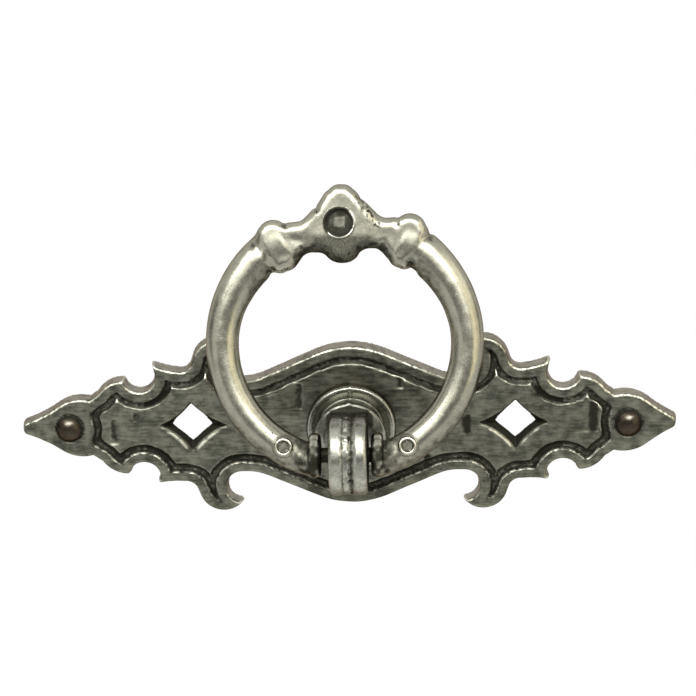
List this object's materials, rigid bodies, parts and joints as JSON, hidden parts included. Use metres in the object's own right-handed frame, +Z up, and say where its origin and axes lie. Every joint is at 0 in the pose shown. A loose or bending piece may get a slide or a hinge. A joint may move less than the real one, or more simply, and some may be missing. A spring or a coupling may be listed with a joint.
{
  "type": "drawer pull",
  "caption": "Swinging ring pull: a cast ring with a lobed crest turns in a central post on a pierced, scalloped backplate with a raised rim, held by a domed nail near each tip.",
  "frame": {"origin": "on the axis of the post's screw hole, at the back face of the backplate", "axes": "+X along the backplate to the right, +Z up the drawer front, +Y back into the drawer front; the ring and the knuckle stand out towards -Y"},
  "size_m": [0.1102, 0.0338, 0.0578],
  "materials": {
    "plate_pewter": "antique silver, darkened field with a brushed grain, worn bright along the rim",
    "post_pewter": "antique silver, polished on the knuckle, dark in the grooves",
    "ring_pewter": "antique silver, rubbed smooth, with small casting pits",
    "nail_bronze": "dark brown bronze, satin"
  },
  "bodies": {
    "base": {"backplate": "plate_pewter", "post": "post_pewter", "nail_left": "nail_bronze", "nail_right": "nail_bronze"},
    "ring": {"ring": "ring_pewter"}
  },
  "joints": [
    {"name": "ring_pivot", "type": "hinge", "parent": "base", "child": "ring", "pos_m": [0, -0.0153, 0], "axis": [1, 0, 0], "range_deg": [0, 214.4]}
  ]
}
